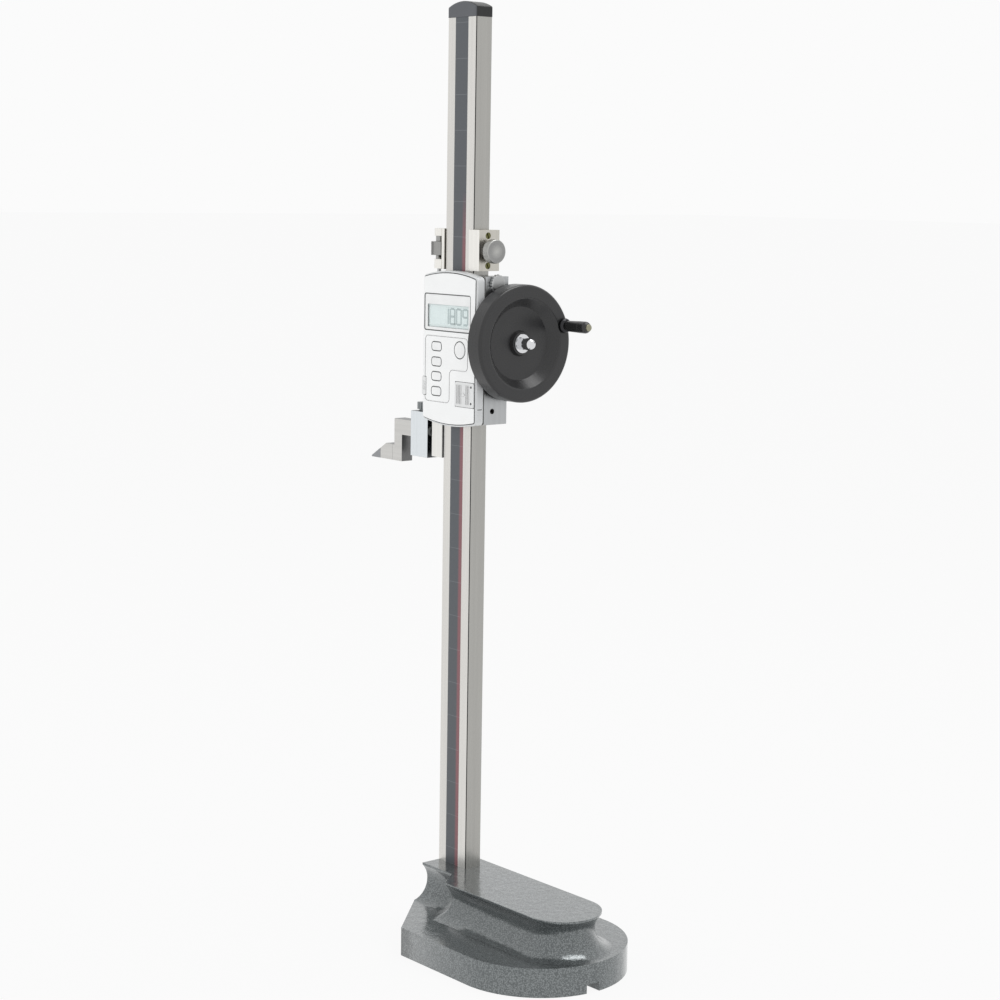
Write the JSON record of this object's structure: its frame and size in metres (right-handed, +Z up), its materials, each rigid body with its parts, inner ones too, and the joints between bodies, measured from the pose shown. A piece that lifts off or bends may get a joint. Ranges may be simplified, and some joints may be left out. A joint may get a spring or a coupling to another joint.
{
  "type": "digital height gauge",
  "caption": "Digital height gauge: cast base, ground beam, and a slider with a display, a rack and pinion hand wheel, a fine-feed carriage and a scriber.",
  "frame": {"origin": "resting face of the base, under the middle of the beam", "axes": "+Z up along the beam, +X towards the hand wheel and the base's round nose, -Y towards the user"},
  "size_m": [0.274, 0.1316, 0.6863],
  "materials": {
    "hammertone_grey": "hammertone enamel, satin",
    "ground_steel": "ground along its length",
    "slider_silver": "fine satin chrome",
    "strip_charcoal": "matt printed film under varnish",
    "black_plastic": "moulded, satin",
    "silver_plastic": "silver lacquer over moulded plastic",
    "pale_plastic": "printed film",
    "lcd_glass": "clear window",
    "lcd_panel": "reflective liquid crystal panel",
    "key_plastic": "moulded, satin",
    "circuit_green": "solder mask",
    "brass": "turned",
    "bronze_lacquer": "lacquered, domed end",
    "bright_chrome": "polished",
    "black_oxide": "black oxide on steel",
    "carbide": "ground hard metal"
  },
  "bodies": {
    "base": {"base_casting": "hammertone_grey", "beam": "ground_steel", "graduated_strip": "strip_charcoal", "feed_rack": "ground_steel", "top_cap": "black_plastic", "beam_screws": "black_oxide"},
    "slider": {"slider_frame": "slider_silver", "back_plate": "slider_silver", "back_plate_screws": "black_oxide", "shaft_bushes": "brass", "slider_gib": "brass", "gib_screws": "black_oxide", "measuring_jaw": "ground_steel", "jaw_screw": "bright_chrome", "display_case": "silver_plastic", "front_panel": "silver_plastic", "lcd_frame": "pale_plastic", "lcd_window": "lcd_glass", "lcd_module": "lcd_panel", "circuit_board": "circuit_green", "coin_cell": "bright_chrome", "data_port": "black_plastic", "fine_feed_spindle": "bright_chrome"},
    "feed": {"drive_pinion": "ground_steel", "pinion_shaft": "ground_steel", "handwheel": "black_plastic", "wheel_washer": "bright_chrome", "dome_nut": "bright_chrome", "handle_boss": "bright_chrome"},
    "grip": {"handle_grip": "black_plastic", "grip_cap": "bronze_lacquer"},
    "carriage": {"carriage_block": "ground_steel", "carriage_gib": "brass", "carriage_gib_screws": "brass"},
    "fine_nut": {"fine_feed_nut": "ground_steel"},
    "carriage_knob": {"carriage_clamp_knob": "ground_steel"},
    "slider_knob": {"lock_knob": "bright_chrome"},
    "first_key": {"key_1": "key_plastic"},
    "second_key": {"key_2": "key_plastic"},
    "third_key": {"key_3": "key_plastic"},
    "fourth_key": {"key_4": "key_plastic"},
    "power_button": {"power_key": "key_plastic"},
    "battery_door": {"battery_cover": "silver_plastic"},
    "port_door": {"port_cover": "key_plastic"},
    "scriber": {"scriber_arm": "ground_steel", "scriber_blade": "ground_steel", "scriber_tip": "carbide"},
    "scriber_screw": {"scriber_clamp_screw": "bright_chrome"}
  },
  "joints": [
    {"name": "slider_slide", "type": "slide", "parent": "base", "child": "slider", "axis": [0, 0, 1], "range_m": [-0.328, 0.145]},
    {"name": "feed_turn", "type": "hinge", "parent": "slider", "child": "feed", "pos_m": [0.0444, 0.01333, 0.4439], "axis": [1, 0, 0], "range_deg": [-2800, 1250]},
    {"name": "grip_spin", "type": "hinge", "parent": "feed", "child": "grip", "pos_m": [0.068, 0.0493, 0.456], "axis": [1, 0, 0], "continuous": true},
    {"name": "carriage_slide", "type": "slide", "parent": "slider", "child": "carriage", "axis": [0, 0, 1], "range_m": [-0.002, 0.005]},
    {"name": "fine_turn", "type": "hinge", "parent": "carriage", "child": "fine_nut", "pos_m": [-0.0264, -0.005, 0.51], "axis": [0, 0, 1], "range_deg": [-724, 1804]},
    {"name": "carriage_clamp_turn", "type": "hinge", "parent": "carriage", "child": "carriage_knob", "pos_m": [0.03, -0.0003, 0.5093], "axis": [1, 0, 0], "range_deg": [0, 360]},
    {"name": "slider_lock_turn", "type": "hinge", "parent": "slider", "child": "slider_knob", "pos_m": [0.036, 0, 0.4865], "axis": [1, 0, 0], "range_deg": [0, 360]},
    {"name": "scriber_reach", "type": "slide", "parent": "slider", "child": "scriber", "axis": [-1, 0, 0], "range_m": [0, 0.012]},
    {"name": "scriber_clamp_turn", "type": "hinge", "parent": "slider", "child": "scriber_screw", "pos_m": [-0.0492, -0.0015, 0.39], "axis": [0, 0, 1], "range_deg": [0, 360]},
    {"name": "battery_door_slide", "type": "slide", "parent": "slider", "child": "battery_door", "axis": [1, 0, 0], "range_m": [0, 0.0045]},
    {"name": "port_door_slide", "type": "slide", "parent": "slider", "child": "port_door", "axis": [-1, 0, 0], "range_m": [0, 0.006]},
    {"name": "first_key_press", "type": "slide", "parent": "slider", "child": "first_key", "axis": [0, 1, 0], "range_m": [0, 0.0008], "stiffness_N_per_m": 400, "springref_m": -0.0003},
    {"name": "second_key_press", "type": "slide", "parent": "slider", "child": "second_key", "axis": [0, 1, 0], "range_m": [0, 0.0008], "stiffness_N_per_m": 400, "springref_m": -0.0003},
    {"name": "third_key_press", "type": "slide", "parent": "slider", "child": "third_key", "axis": [0, 1, 0], "range_m": [0, 0.0008], "stiffness_N_per_m": 400, "springref_m": -0.0003},
    {"name": "fourth_key_press", "type": "slide", "parent": "slider", "child": "fourth_key", "axis": [0, 1, 0], "range_m": [0, 0.0008], "stiffness_N_per_m": 400, "springref_m": -0.0003},
    {"name": "power_press", "type": "slide", "parent": "slider", "child": "power_button", "axis": [0, 1, 0], "range_m": [0, 0.0008], "stiffness_N_per_m": 400, "springref_m": -0.0003}
  ],
  "couplings": [
    {"joint": "feed_turn", "follows": "slider_slide", "rad_per_m": 147.06},
    {"joint": "fine_turn", "follows": "carriage_slide", "rad_per_m": 6283.2}
  ]
}
